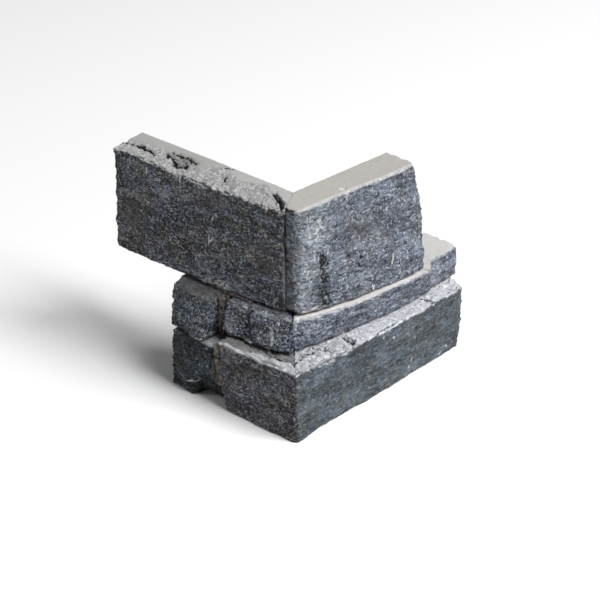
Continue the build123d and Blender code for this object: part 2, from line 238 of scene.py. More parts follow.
def stone_look(name, dark, mid, pale, sharp, grain_share=0.75, long=1.6, fleck=0.5, pits=0.8,
               sawn=(0.38, 0.365, 0.345), dust=(0.47, 0.485, 0.52), dust_share=0.85, layer=0.2,
               cool=(0.94, 1.0, 1.09), warm=(1.08, 1.0, 0.90), tilt=0.0, drift=0.0):
    """Split slate: blotches between a dark and a middle colour, pale grains long times as long as
    high, from dark to pale within sharp of the noise; black pits and white flecks, thin pale layers
    along the bed, all tinted cool or warm in patches; painted shade in the hollows, pale dust on
    what faces up, paler sawn faces, and the painted marks."""
    look = bpy.data.materials.new(name)
    look.use_nodes = True
    nodes, links = look.node_tree.nodes, look.node_tree.links
    shader = nodes["Principled BSDF"]
    shader.inputs["Roughness"].default_value = 0.68
    shader.inputs["Specular IOR Level"].default_value = 0.22
    where = nodes.new("ShaderNodeTexCoord").outputs["Object"]

    def put(socket, value):
        """Links another node's output to the socket, or sets a number or a colour there."""
        if isinstance(value, bpy.types.NodeSocket):
            links.new(value, socket)
        else:
            socket.default_value = (*value, 1) if isinstance(value, tuple) else value

    def noise(scale, detail, low, high, stretch=(1, 1, 1), coarse=0.62):
        """Cloudy noise on the moved, tilted and stretched object, from 0 at low to 1 at high."""
        turned = nodes.new("ShaderNodeMapping")
        turned.inputs["Location"].default_value = (drift, 0.7 * drift, 0.4 * drift)
        turned.inputs["Rotation"].default_value = (tilt, 0, 0)
        stretched = nodes.new("ShaderNodeMapping")
        stretched.inputs["Scale"].default_value = stretch
        cloud = nodes.new("ShaderNodeTexNoise")
        cloud.inputs["Scale"].default_value = scale
        cloud.inputs["Detail"].default_value = detail
        cloud.inputs["Roughness"].default_value = coarse
        links.new(where, turned.inputs["Vector"])
        links.new(turned.outputs["Vector"], stretched.inputs["Vector"])
        links.new(stretched.outputs["Vector"], cloud.inputs["Vector"])
        return between(cloud.outputs["Fac"], low, high)

    def between(value, low, high):
        """From 0 at low to 1 at high in a straight line, and level beyond them."""
        spread = nodes.new("ShaderNodeMapRange")
        spread.inputs["From Min"].default_value = low
        spread.inputs["From Max"].default_value = high
        links.new(value, spread.inputs["Value"])
        return spread.outputs["Result"]

    def mix(share, first, second, kind="MIX"):
        """The first colour, replaced or multiplied by the second as far as share says."""
        blend = nodes.new("ShaderNodeMix")
        blend.data_type = "RGBA"
        blend.blend_type = kind
        for slot, value in ((0, share), (6, first), (7, second)):
            put(blend.inputs[slot], value)
        return blend.outputs[2]

    def times(first, second, kind="MULTIPLY"):
        """The product of two values, or their sum where kind is ADD."""
        step = nodes.new("ShaderNodeMath")
        step.operation = kind
        put(step.inputs[0], first)
        put(step.inputs[1], second)
        return step.outputs[0]

    def mark(attribute):
        """What the mesh has painted under this name."""
        read = nodes.new("ShaderNodeAttribute")
        read.attribute_name = attribute
        return read.outputs["Fac"]

    along = (1 / long, 1 / long, 1)
    grains = noise(700, 4, 0.525 - sharp / 2, 0.525 + sharp / 2, along, 0.8)
    crowds = noise(230, 3, 0.36, 0.60, along, 0.7)
    grain = times(grains, times(times(crowds, 0.65), 0.35, "ADD"))
    beds = noise(1, 4, 0.46, 0.62, (80, 80, 520))
    colour = mix(noise(85, 6, 0.36, 0.64, along, 0.7), dark, mid)
    colour = mix(times(beds, layer), colour, pale)
    colour = mix(times(grain, grain_share), colour, pale)
    colour = mix(times(noise(420, 4, 0.53, 0.58, along, 0.8), pits), colour, tuple(0.35 * c for c in dark))
    # Painted shade: the hollows of the split relief are darkened toward half the dark colour.
    colour = mix(times(between(mark("relief"), 0.1, -0.9), 0.7), colour, tuple(0.5 * c for c in dark))
    colour = mix(times(between(mark("relief"), 0.3, 1.1), 0.35), colour, pale)
    bright = tuple(min(1.0, 1.9 * c) for c in pale)
    colour = mix(times(mark("frost"), noise(560, 4, 0.46, 0.58, along, 0.8)), colour, bright)
    colour = mix(times(noise(620, 2, 0.64, 0.70), fleck), colour, tuple(min(1.0, 2.4 * c) for c in pale))
    colour = mix(1.0, colour, mix(noise(75, 6, 0.44, 0.58, coarse=0.75), cool, warm), "MULTIPLY")
    powder = tuple(0.66 * c for c in dust)
    dusted = mix(noise(400, 5, 0.43, 0.57, coarse=0.8), powder, dust)
    colour = mix(times(times(mark("up"), dust_share), noise(500, 4, 0.12, 0.42)), colour, dusted)
    planed = mix(times(noise(1, 3, 0.3, 0.7, (60, 60, 260)), 0.3), sawn, tuple(0.8 * c for c in sawn))
    planed = mix(times(noise(300, 5, 0.50, 0.72), 0.35), planed, tuple(0.6 * c for c in sawn))
    colour = mix(mark("sawn"), colour, planed)
    worn = times(between(mark("broken"), 0.08, 0.4), noise(400, 4, 0.42, 0.56, coarse=0.8))
    colour = mix(times(times(worn, dust_share), between(mark("up"), -0.2, 0.8)), colour, dust)
    # This mark lays on the mortar's brown: real mortar, and on the bottom ledges painted shade.
    daub = mix(noise(420, 4, 0.40, 0.62), (0.040, 0.037, 0.033), (0.15, 0.140, 0.124))
    colour = mix(mark("smear"), colour, daub)
    colour = mix(mark("chalk"), colour, (0.72, 0.72, 0.72))
    # This mark darkens toward near black: real streaks, cracks and spots, and painted shade in hollows, the
    # valley, the hole, beside the gash and near the rounded corner.
    ragged = times(mark("stain"), times(noise(480, 4, 0.38, 0.62), 0.6), "ADD")
    colour = mix(between(ragged, 0.62, 0.95), colour, (0.008, 0.008, 0.009))
    links.new(colour, shader.inputs["Base Color"])

    bump = nodes.new("ShaderNodeBump")
    bump.inputs["Strength"].default_value = 0.9
    bump.inputs["Distance"].default_value = 0.0007
    rugged = times(grain, times(beds, 0.3), "ADD")
    links.new(times(rugged, between(mark("sawn"), 1.1, 0.0)), bump.inputs["Height"])
    links.new(bump.outputs["Normal"], shader.inputs["Normal"])
    return look


def leaning_end(place, skew=0.0, lean=0.0, at_deep=0.0, at_high=0.0):
    """A plane break: place, plus skew times the depth beyond at_deep, plus lean times the height
    above at_high."""
    return lambda b, z: place + skew * (b - at_deep) + lean * (z - at_high)


def mitre(x, y, sign):
    """The sawn mitre from the inner corner to the outer joint line, as a place along a leg."""
    ratio = x / -y if sign > 0 else -y / x
    return lambda b, z: sign * b * ratio + 0 * z


dark_slate = stone_look(
    "dark_slate", dark=(0.008, 0.009, 0.012), mid=(0.031, 0.035, 0.044), pale=(0.47, 0.495, 0.54),
    sharp=0.05, grain_share=0.85, sawn=(0.33, 0.325, 0.315), dust=(0.50, 0.50, 0.50), layer=0.10, drift=0.31,
)
shoulder_places = np.array([-162.5, -90.3, -72.2, -63.2, -36.1, -22.6, 16.0])
sawn_widths = np.array([14.0, 9.8, 14.0, 4.0, 12.0, 4.0, 17.0])


def tl_lid(a, b):
    """Drop of the broken shoulder: none on the sawn band, then straight down to its full drop at the
    face, which steps from 1.2 to 4.5 mm where the hollow begins and reaches 5.8 mm further on."""
    kept = np.interp(a, shoulder_places, sawn_widths)
    full = np.interp(a, [-100.0, -93.0, -60.0, -46.0], [1.2, 4.5, 4.5, 5.8])
    return full * np.clip((b - kept) / (39.0 - kept), 0, 1)


def tl_marks(a, b, z, gaps, sawn, hackle, tooth):
    """The rough dusty shoulder in front of the sawn band, with its cracks and its hollow, painted shadow
    along the rims of the hollow and beside the gash; brown and blue patches, needle scratches and the
    line of glue beside the mitre on the face."""
    kept = np.interp(a, shoulder_places, sawn_widths) + 1.5 * hackle
    above = ease(2.5 - gaps[TOP], 0, 1.5)
    ahead = ease(2.5 - gaps[FACE], 0, 1.5)
    shoulder = ease(b - kept, -0.3, 0.6) * above
    ca, cb = a + 1.2 * hackle, b + 1.2 * hackle
    crack = on_line(ca, cb, [(-144, 19.7), (-134, 18.4), (-121.5, 18.8), (-113, 20.8)], 2.2)
    crack = np.clip(1.5 * crack, 0, 1)
    hollow = patch(ca, cb, (-93, 14), (13, 5.5))
    # Painted shadow: dark lines along the rims of the hollow, also sunk as grooves.
    lip_shadows = np.max([
        on_line(ca, cb, [(-107, 14.5), (-100, 17), (-92, 19.8), (-83, 18.9)], 2.4),
        0.75 * on_line(ca, cb, [(-108, 10), (-99, 9), (-90, 9.2), (-81, 11.2)], 1.5),
        0.5 * on_line(ca, cb, [(-110, 13), (-101, 14.5), (-93, 13), (-84, 15)], 1.6),
    ], axis=0)
    spots = on_line(ca, cb, [(-62, 4.5), (-59, 2.8), (-55, 1.8)], 1.8)
    spots = np.maximum(spots, 0.7 * on_line(ca, cb, [(-50, 10), (-49, 18)], 1.5))
    gash = on_line(ca, cb, [(-9, 9.6), (-2, 13.4), (4.4, 16.6), (9, 20), (11.5, 23)], 2.3)
    # The weaker line is painted shadow beside the gash.
    gash = np.maximum(gash, 0.4 * on_line(ca, cb, [(0, 17), (4.5, 20), (7.5, 23)], 1.6))
    dark = np.max([crack, lip_shadows, spots, gash], axis=0) * above
    needles = np.max([
        on_line(a, z, [(-51.4, 111), (-50.6, 108), (-50.9, 105.6)], 0.65),
        on_line(a, z, [(-47.9, 110.2), (-49.2, 107.6), (-50.9, 107.2)], 0.65),
        0.8 * on_line(a, z, [(-109.8, 144), (-110, 139.5)], 0.65),
        0.8 * on_line(a, z, [(-78, 148), (-78.3, 143)], 0.65),
        0.8 * on_line(a, z, [(-48.6, 125), (-49.3, 122.4)], 0.65),
    ], axis=0)
    glue = ease(2.8 - gaps[FINISH], 0, 2.2) * ease(z, 79, 90) * (1 - ease(z, 100, 122))
    lip = ease(0.6 - gaps[FINISH], 0, 0.5) * ease(4.0 - gaps[FACE], 0, 1.0) * (1 - above)
    brown = patch(a, z, (-1, 112), (16, 11)) + patch(a, z, (-124, 103), (14, 10))
    brown = brown + patch(a, z, (-48, 138), (18, 6))
    paler = ease(a, -75, -25) * above * (1 - shoulder)
    return {
        "sawn": sawn * (1 - shoulder),
        "stain": np.clip(dark + 0.1 * hollow * above + 0.9 * lip * ease(z, 113, 120), 0, 1),
        "chalk": np.clip((1.5 * needles + 0.22 * glue) * ahead + 0.12 * paler, 0, 1),
        "smear": np.clip(0.45 * brown * ahead + 0.55 * hollow * above + 0.6 * lip, 0, 1),
        "frost": 0.6 * patch(a, z, (-42, 78), (22, 6)) * ahead,
        "sink": (1.6 * crack + 1.8 * hollow + 2.2 * lip_shadows + spots + 2.2 * gash) * above
        - (1.0 * hackle + 0.5 * tooth) * shoulder,
    }


make_stone(
    "split_top_left", "top_left_stone", "left", foot=top_foot, top=course_top,
    depth=split_depth(depths=(33.0, 22.5), bulges=(6.0, 1.5), leans=(1.0, -1.0), seed=0.4,
                      run=(-162.5, 28.0), foot=top_foot, top=course_top),
    start=leaning_end(-150.5, skew=7.3 / 33.0, lean=-1.3 / 74.5, at_high=course_top),
    finish=mitre(*top_mitre, 1), look=dark_slate, marks=tl_marks, seed=1.0, lid=tl_lid,
    edges=(2.2, 0.002, 0.5, 1.8, 1.6, 1.0), rough=(1.1, 0.05, 0.05, 0.8, 0.0, 0.05),
    sawn_sides=(FINISH, BACK, FOOT, TOP),
)

# Short stone of the top course, right leg
# The same slate, turned round the corner: sawn on back, beds and mitre, with a narrow brown return
# on the left side and a ragged break at its far end.
blue_slate = stone_look(
    "blue_slate", dark=(0.034, 0.039, 0.052), mid=(0.125, 0.137, 0.165), pale=(0.49, 0.53, 0.60),
    sharp=0.07, long=1.9, cool=(0.96, 1.0, 1.06), warm=(1.03, 1.0, 0.98), drift=0.77,
)


def tr_start(b, z):
    """Along the mitre as far as the return face, which stands 23.5 mm before the corner line."""
    return np.maximum(-23.5, -b * -top_mitre[1] / top_mitre[0]) + 0 * z


def tr_finish(b, z):
    """The far break: the lesser of two planes that both draw in from a knob at half height, one
    going up and one going down."""
    knob_end, knob_depth, knob_height = 93.0, 32.5, 112
    upper = knob_end - 0.1 * (b - knob_depth) - 3.35 / 38.0 * (z - knob_height)
    lower = knob_end - 0.2 * (b - knob_depth) + 2.5 / 36.5 * (z - knob_height)
    return np.minimum(upper, lower)


def tr_marks(a, b, z, gaps, sawn, hackle, tooth):
    """Pale blue crystals along the near edge, wet-looking dark streaks, needle scratches, an olive
    patch, the brown return with a hole above it in painted shade, and a chip in the top, whose rear
    15 mm stays sawn and unworn as far as its edges."""
    ahead = ease(2.5 - gaps[FACE], 0, 1.5)
    aside = ease(2.0 - gaps[START], 0, 1.5) * (1 - ease(2.0 - gaps[FACE], 0, 2.0))
    above = ease(1.5 - gaps[TOP], 0, 1)
    ca, cz = a + 1.5 * hackle, z + 1.5 * hackle
    streaks = np.max([
        0.85 * on_line(ca, cz, [(-1.9, 113), (-1.2, 96)], 6.5),
        0.72 * on_line(ca, cz, [(-3.5, 93), (-1.8, 80)], 6.5),
        0.7 * on_line(ca, cz, [(29.5, 103), (29.5, 96)], 4),
        0.6 * on_line(ca, cz, [(19.5, 107), (19.5, 104)], 4),
        on_line(a, z, [(45.2, 130.8), (45.4, 129.6)], 1.2),
    ], axis=0)
    needles = np.max([
        on_line(a, z, [(59.6, 95.5), (59.2, 92), (58, 89.5)], 0.8),
        on_line(a, z, [(37.4, 81), (38.2, 78), (38, 75.5)], 0.7),
        on_line(a, z, [(38, 78.5), (40.5, 79.2)], 0.6),
        0.5 * on_line(ca, cz, [(-19, 77.6), (-10, 77.2)], 1.0),
    ], axis=0)
    frost = 0.38 * patch(a, z, (-6, 130), (14, 18)) + 0.4 * patch(a, z, (-17, 98), (6, 15))
    chip = on_line(a, b, [(25.0, 19.6), (26.6, 20.4)], 2.0) * above
    rim = ease(3.5 - gaps[FACE], 0, 1.5) * above
    edge = ease(0.8 - gaps[BACK], 0, 0.6) * above
    planed = (b < 15) * (1 - aside) * (gaps[TOP] < 0.01)
    # Painted shade in the hole beside the return: it is sunk, left unsawn and painted near black.
    hole = on_line(a + 0.6 * hackle, b + 0.6 * hackle, [(-22.0, 15.6), (-21.8, 20.0)], 2.6) * above
    stain = 0.85 * streaks * ahead + 0.45 * edge + 0.5 * chip * (b > 20) + 0.25 * aside + hole
    return {
        "sawn": np.maximum(sawn, planed) * (1 - hole), "stain": np.clip(stain, 0, 1),
        "chalk": np.clip(1.4 * needles * ahead + 0.3 * rim + 0.5 * chip * (b < 20), 0, 1),
        "smear": np.clip(0.35 * patch(a, z, (39, 122), (12, 9)) * ahead + 0.2 * aside, 0, 1),
        "frost": frost * ahead, "sink": 1.2 * chip + 0.4 * streaks * ahead + 1.5 * hole,
        "bare": np.maximum(1 - ease(a, -23, -12), planed),
    }


make_stone(
    "split_top_right", "top_right_stone", "right", foot=top_foot, top=course_top,
    depth=split_depth(depths=(24.0, 32.5), bulges=(9.0, 0.5), leans=(-2.0, 10.0), seed=1.7,
                      run=(-23.5, 102.5), foot=top_foot, top=course_top),
    start=tr_start, finish=tr_finish, look=blue_slate, marks=tr_marks, seed=2.0, skew=0.14,
    edges=(5.0, 2.0, 0.5, 2.2, 1.0, 0.6), rough=(0.4, 1.4, 0.05, 0.9, 0.0, 0.05),
    arrises={(START, TOP): 0.02}, chips=(((-23.5, 19.0, 78.6), (-1.0, 0.1, -1.1), 0.4),),
)

# End stone of the middle course, left leg
# A small lumpy piece of the dark slate, broken at its free end, pressed into the mortar.
low_foot, middle_top = 46.0, 74.0
spark_slate = stone_look(
    "spark_slate", dark=(0.009, 0.012, 0.016), mid=(0.032, 0.040, 0.051), pale=(0.43, 0.48, 0.55),
    sharp=0.05, long=1.2, grain_share=0.85, dust_share=0.3, layer=0.1, warm=(1.1, 1.0, 0.92), drift=0.93,
)


def me_marks(a, b, z, gaps, sawn, hackle, tooth):
    """Mortar smeared over the ledge."""
    above = ease(3.0 - gaps[TOP], 0, 2)
    return {"smear": 0.75 * above * ease(hackle, -0.6, 0.3)}


def me_start(b, z):
    """The free end, 69.5 mm out at the face and further out by 0.42 of the depth behind it, as far
    as 77 mm."""
    return np.maximum(-77.0, -69.5 - 0.42 * (49.5 - b)) + 0 * z


make_stone(
    "split_middle_end", "middle_end_stone", "left", foot=low_foot, top=middle_top,
    depth=split_depth(depths=(49.5, 49.5), bulges=(1.0, 1.0), leans=(5.0, 9.0), seed=2.6,
                      run=(-77.0, -35.0), foot=low_foot, top=middle_top),
    start=me_start, finish=leaning_end(-35.0), look=spark_slate, marks=me_marks, seed=3.0,
    edges=(3.0, 2.0, 0.5, 3.6, 0.15, 2.2), rough=(1.2, 0.8, 0.05, 1.5, 0.1, 0.7),
    sawn_sides=(BACK,), chips=(((-67.5, 49.5, 46.0), (-1, 0.42, -0.7), 0.5),), grid=0.65,
)

# Middle stone of the middle course, left leg
# Coarse crystalline slate with white needles, in two lobes, its lower left corner broken away.
middle_foot = 51.5
middle_mitre = (25.5, -27.0)
coarse_slate = stone_look(
    "coarse_slate", dark=(0.006, 0.009, 0.013), mid=(0.029, 0.034, 0.045), pale=(0.47, 0.51, 0.60),
    sharp=0.05, long=1.0, grain_share=0.85, fleck=0.9, dust_share=0.25, layer=0.05,
    warm=(1.04, 1.0, 0.97), drift=1.13,
)


def ml_marks(a, b, z, gaps, sawn, hackle, tooth):
    """The valley between its two lobes, darkened with painted shade, white needles in three clusters
    and a pale upper rim.
    """
    ahead = ease(3.0 - gaps[FACE], 0, 1.5)
    # Painted shade in the valley between the lobes, which is also sunk.
    valley = on_line(a + hackle, z, [(-8, 76), (-7, 64), (-9, 50)], 5.0)
    rim = ease(2.2 - gaps[TOP], 0, 1.5) * ahead
    clusters = 0.45 * patch(a, z, (-22, 58), (6, 5)) + 0.2 * patch(a, z, (14, 60), (5, 6))
    clusters += 0.2 * patch(a, z, (-17, 68), (4, 4))
    rays = on_line(a, z, [(-25, 60), (-20, 54.5)], 0.6) + on_line(a, z, [(-21, 61), (-17, 55)], 0.5)
    rays = rays + on_line(a, z, [(11, 66), (15, 60), (18, 58)], 0.7)
    rays = rays + on_line(a, z, [(15, 58), (17, 54.5)], 0.6)
    return {
        "sink": 2.6 * valley * ahead, "stain": 0.5 * valley * ahead,
        "frost": np.clip(0.8 * clusters, 0, 1) * ahead,
        "chalk": np.clip(0.8 * rays * ahead + 0.3 * rim * ease(tooth, -0.2, 0.5), 0, 1),
        "bare": ease(a, 14, 18),
    }


make_stone(
    "split_middle_left", "middle_left_stone", "left", foot=middle_foot, top=middle_top,
    depth=split_depth(depths=(41.0, 27.5), bulges=(3.0, 0.5), leans=(6.5, 6.5), seed=3.9,
                      run=(-29.0, 37.5), foot=middle_foot, top=middle_top),
    start=leaning_end(-29.0), finish=mitre(*middle_mitre, 1), look=coarse_slate, marks=ml_marks,
    edges=(3.0, 3.0, 0.5, 3.0, 1.5, 2.2), rough=(1.1, 0.05, 0.05, 1.8, 0.2, 0.5), seed=4.0,
    sawn_sides=(FINISH, BACK, FOOT), chips=(((-29.0, 41.0, 56.5), (-0.8, 0.4, -0.9), 0.6),), grid=0.65,
)

# Long stone of the middle course, right leg
# A blue-grey strip with a whitish sawn ledge. Its face steps in where the stone above ends, and
# its far end is worn round.
mr_end = 140.5
mr_radius = 13.0
mr_split = split_depth(depths=(25.5, 33.0), bulges=(9.0, 14.0), leans=(0.0, -1.5), seed=0.9,
                       run=(-27.5, mr_end), foot=middle_foot, top=middle_top)


def mr_face(a, z):
    """The split face, set back behind the step, and its round end, 21 mm + sqrt(r^2 - x^2) deep, x
    being the distance past the place where it begins."""
    step = np.interp(a, [60.0, 90.0, 104.0], [72.0, 46.0, 34.0])
    turn = np.clip(a - (mr_end - mr_radius), 0, mr_radius)
    rounded = np.where(turn > 0, 21.0 + np.sqrt(mr_radius ** 2 - turn ** 2), 99.0)
    return np.minimum(np.minimum(mr_split(a, z), step), rounded)


def mr_finish(b, z):
    """The far end, drawn in evenly from a ridge at mid height to 3.5 mm at foot and top."""
    middle, half = (middle_top + middle_foot) / 2, (middle_top - middle_foot) / 2
    return mr_end - 3.5 / half * np.abs(z - middle) + 0 * b


def mr_marks(a, b, z, gaps, sawn, hackle, tooth):
    """The near end is coarse and dark; the ledge is dusted whiter than the sawn top of the far end."""
    ahead = ease(2.5 - gaps[FACE], 0, 1.5)
    above = ease(1.5 - gaps[TOP], 0, 1)
    coarse = 1 - ease(a, -16, -4)
    rust = on_line(a, b, [(89, 38), (92, 45)], 3.0) * above
    return {
        "sink": (0.9 * coarse * hackle) * ahead, "bare": 1 - ease(a, -18, -8),
        "chalk": 0.25 * above * (1 - ease(a, 80, 92)), "smear": 0.35 * rust,
        "stain": (0.35 * patch(a, z, (-24, 60), (5, 12)) + 0.08 * coarse) * ahead,
    }


ledge_slate = stone_look(
    "ledge_slate", dark=(0.040, 0.046, 0.062), mid=(0.170, 0.187, 0.230), pale=(0.56, 0.60, 0.70),
    sharp=0.07, long=1.8, sawn=(0.505, 0.49, 0.475), cool=(0.96, 1.0, 1.07), warm=(1.03, 1.0, 0.98),
    drift=1.71,
)
make_stone(
    "split_middle_right", "middle_right_stone", "right", foot=middle_foot, top=middle_top,
    depth=mr_face, start=mitre(*middle_mitre, -1), finish=mr_finish, look=ledge_slate,
    edges=(2.4, 3.2, 0.5, 2.4, 1.2, 2.4), rough=(0.05, 0.9, 0.05, 0.8, 0.0, 0.05),
    sawn_sides=(START, BACK, FOOT, TOP), skew=0.08, seed=5.0, marks=mr_marks,
)

# End stone of the bottom course, left leg
# The darkest piece, with a bevelled foot and its lower right corner broken out.
black_slate = stone_look(
    "black_slate", dark=(0.003, 0.004, 0.005), mid=(0.010, 0.012, 0.014), pale=(0.19, 0.215, 0.25),
    sharp=0.05, dust_share=0.15, cool=(0.92, 1.02, 1.08), warm=(1.08, 1.02, 0.86), drift=2.23,
)
low_bed = 44.5
be_split = split_depth(depths=(54.5, 53.5), bulges=(0.5, 0.5), leans=(0.0, 0.0), seed=5.0,
                       run=(-66.5, -24.0), foot=0.0, top=low_bed)


def be_face(a, z):
    """The split face, with the broken corner set back to 43.5 mm and the foot bevelled."""
    face = be_split(a, z) - 0.12 * np.clip(11.0 - z, 0, None)
    notch = ease(a, -43.5, -40.5) * (1 - ease(z, 12.0, 15.0))
    return face + (43.5 - face) * notch


def be_marks(a, b, z, gaps, sawn, hackle, tooth):
    """A white chipped line above the foot, a pale blue chip beside the gap and one at the upper right
    corner, with a hollow below it, darkened with painted shade."""
    ahead = ease(3.0 - gaps[FACE], 0, 1.5)
    line = on_line(a, z + 0.8 * hackle, [(-58, 11.6), (-50, 9.8), (-39, 11.6)], 0.9) * ease(tooth, -0.5, 0.2)
    # Painted shade in a hollow of the face, which is also sunk.
    hollow = patch(a, z, (-26, 39), (2.8, 4)) * ahead
    chips = patch(a, z, (-38, 8), (3, 5)) * ahead
    top_chip = ease(2.0 - gaps[TOP], 0, 1.5) * ease(a, -37, -34)
    joint = ease(3.5 - gaps[FINISH], 0, 2.5) * ahead * ease(z, 14, 20) * (1 - ease(z, 34, 38))
    return {
        "chalk": 0.9 * line * ahead + 0.24 * top_chip, "frost": np.clip(chips + 0.5 * top_chip, 0, 1),
        "stain": 0.8 * hollow, "sink": 2.0 * hollow, "smear": 0.5 * joint,
    }


make_stone(
    "split_bottom_end", "bottom_end_stone", "left", foot=0.0, top=low_bed, depth=be_face,
    start=leaning_end(-66.5, lean=3.0 / low_bed), finish=leaning_end(-24.0), look=black_slate,
    edges=(2.2, 3.0, 0.5, 2.6, 2.0, 0.15), rough=(1.0, 1.0, 0.05, 1.3, 0.1, 0.2),
    sawn_sides=(BACK, FOOT), chips=(((-31.5, 54.0, low_bed), (0.16, 0.09, 0.10), 0.4),), grid=0.7,
    seed=6.0, marks=be_marks,
)

# Return stone of the bottom course, left leg
# Brown-grey slate, mitred at the corner, with a leaning free end; its ledge has painted shade in
# the mortar's brown behind a white chipped rim that widens to the corner.
bottom_top = 50.0
bottom_mitre = (50.0, -50.0)
brown_slate = stone_look(
    "brown_slate", dark=(0.012, 0.012, 0.014), mid=(0.046, 0.047, 0.053), pale=(0.46, 0.46, 0.49),
    sharp=0.06, grain_share=0.8, fleck=0.35, layer=0.08, warm=(1.06, 1.0, 0.93), drift=2.9,
)


def rounded_to(depth, tip, tightest=1.2, widest=4.2, shared_depth=49.8, shared_lean=3.8):
    """The face depth with its outer corner rounded: near the tip it eases into a leaning plane,
    the same on both legs, and from a radius short of the tip it draws in by r - sqrt(r^2 - x^2),
    x being the distance past that place. The radius grows from tightest at the foot to widest at
    the top."""
    def face(a, z):
        out = a * np.sign(tip)
        radius = tightest + (widest - tightest) * z / bottom_top
        past = np.clip(out - abs(tip) + radius, 0, radius)
        shared = shared_depth + shared_lean * (0.5 - z / bottom_top)
        kept = depth(a, z)
        kept = kept + (shared - kept) * ease(out, abs(tip) - 20, abs(tip) - 5)
        return kept - radius + np.sqrt(radius ** 2 - past ** 2)
    return face


def bl_marks(a, b, z, gaps, sawn, hackle, tooth):
    """The ledge, brown with painted shade behind its white rim, and two cracks; a brown patch on the
    face, and painted shade on the face near the rounded corner.
    """
    above = ease(3.0 - gaps[TOP], 0, 2)
    wide = np.interp(a, [-22, 0, 45], [0.8, 2.5, 9.0]) + 1.5 * hackle
    rim = ease(wide - gaps[FACE], -0.8, 0.8) * above
    ca, cb = a + hackle, b + hackle
    cracks = on_line(ca, cb, [(12, 40), (26, 42), (41, 38)], 1.3)
    cracks = np.maximum(on_line(ca, cb, [(20, 46), (21, 38)], 1.1), cracks)
    daubed = 0.7 * patch(a, z, (-20, 38), (6, 12)) * (1 - above)
    # Painted shade: the ledge behind the rim is laid in the mortar's brown, and the face darkens toward the
    # rounded corner.
    return {
        "smear": np.clip(0.6 * above * (1 - rim) + daubed, 0, 1),
        "chalk": 0.3 * rim, "stain": 0.9 * cracks * above + 0.35 * ease(a, 34, 46) * (1 - above),
        "bare": ease(a, 40, 44) * (1 - above),
        "sink": (1.8 * cracks - 0.9 * hackle - 0.4 * tooth) * above,
    }


bl_split = split_depth(depths=(53.2, 49.8), bulges=(0.3, 0.3), leans=(-0.6, 4.2), seed=6.2,
                       run=(-34.0, 62.0), foot=0.0, top=bottom_top)
make_stone(
    "split_bottom_left", "bottom_left_stone", "left", foot=0.0, top=bottom_top,
    depth=rounded_to(bl_split, bottom_mitre[0]),
    start=leaning_end(-22.0, lean=-7.5 / bottom_top, at_high=bottom_top),
    finish=mitre(*bottom_mitre, 1), look=brown_slate, marks=bl_marks, seed=7.0,
    edges=(2.2, 0.002, 0.5, 2.4, 0.4, 1.8), rough=(0.8, 0.0, 0.05, 0.8, 0.0, 0.8),
    sawn_sides=(FINISH, BACK, FOOT),
)

# Long stone of the bottom course, right leg
# Grey-green slate with fine layers, mitred at the corner. Its ledge is smooth in the middle, and
# split rough and cracked near the corner and at the far end.
green_slate = stone_look(
    "green_slate", dark=(0.024, 0.029, 0.034), mid=(0.086, 0.098, 0.113), pale=(0.315, 0.34, 0.38),
    sharp=0.08, long=2.4, grain_share=0.6, fleck=0.2, pits=0.5, dust=(0.66, 0.67, 0.715), dust_share=0.93,
    cool=(0.91, 1.0, 1.07), warm=(1.04, 1.01, 0.94), tilt=-0.08, drift=3.37,
)


def br_marks(a, b, z, gaps, sawn, hackle, tooth):
    """A smooth stretch of ledge between a notch and a crack; white dots and flecks on the face; painted
    shade on the face beside the rounded corner and on the rough, sloping ledge near it.
    """
    above = ease(3.0 - gaps[TOP], 0, 2)
    ahead = ease(2.5 - gaps[FACE], 0, 1.5)
    smooth = ease(a, 12, 18) * (1 - ease(a, 86, 91))
    ca, cb = a + 1.2 * hackle, b + 1.2 * hackle
    notch = on_line(ca, cb, [(11, 36), (9, 46)], 3.0)
    crack = on_line(ca, cb, [(89, 32), (92, 46)], 1.8)
    seams = on_line(ca, cb, [(-40, 40), (-24, 34), (-8, 38)], 1.2)
    seams = np.maximum(on_line(ca, cb, [(-14, 32), (-9, 44)], 1.4), seams)
    dots = np.max([
        on_line(a, z, [(36.8, 45), (37.2, 44.4)], 1.0),
        on_line(a, z, [(47, 40.8), (47.6, 40.3)], 1.0),
        0.8 * on_line(a, z, [(70, 14.5), (69, 12)], 0.8),
        0.8 * on_line(a, z, [(67, 9), (66, 7.8)], 0.8),
        0.8 * on_line(a, z, [(110, 7.6), (111.5, 6.4)], 0.8),
        0.8 * on_line(a, z, [(102, 3), (106, 4)], 0.8),
    ], axis=0)
    rough_ledge = above * (1 - smooth)
    across = 1.25 * b + 2.2 * hackle + 0.1 * a
    sheets = np.tanh(3 * np.sin(across))
    lines = (1 - ease(np.abs(np.sin(across / 2 + 0.4)), 0.0, 0.3)) * ease(tooth, -0.5, 0.3)
    # Painted shade on the face within about 3 mm of the rounded corner, a strip that stays unworn.
    turned = 1 - ease(a, -49, -45.5)
    torn = (0.6 * notch + 0.85 * crack + 0.7 * seams + 0.6 * lines * (1 - smooth)) * above
    ridges = (0.8 * hackle + 0.45 * sheets) * rough_ledge
    # Painted shade also lies on the rough ledge toward the corner, where it slopes away, in the mortar's
    # brown.
    return {
        "stain": np.clip(torn + 0.45 * turned * ahead, 0, 1), "chalk": 0.9 * dots * ahead,
        "sink": (2.4 * notch + 1.5 * crack + 1.2 * seams) * above - ridges,
        "bare": turned * (1 - above),
        "smear": 0.3 * rough_ledge * (1 - ease(a, 0, 10)) * ease(hackle, -0.6, 0.4),
    }


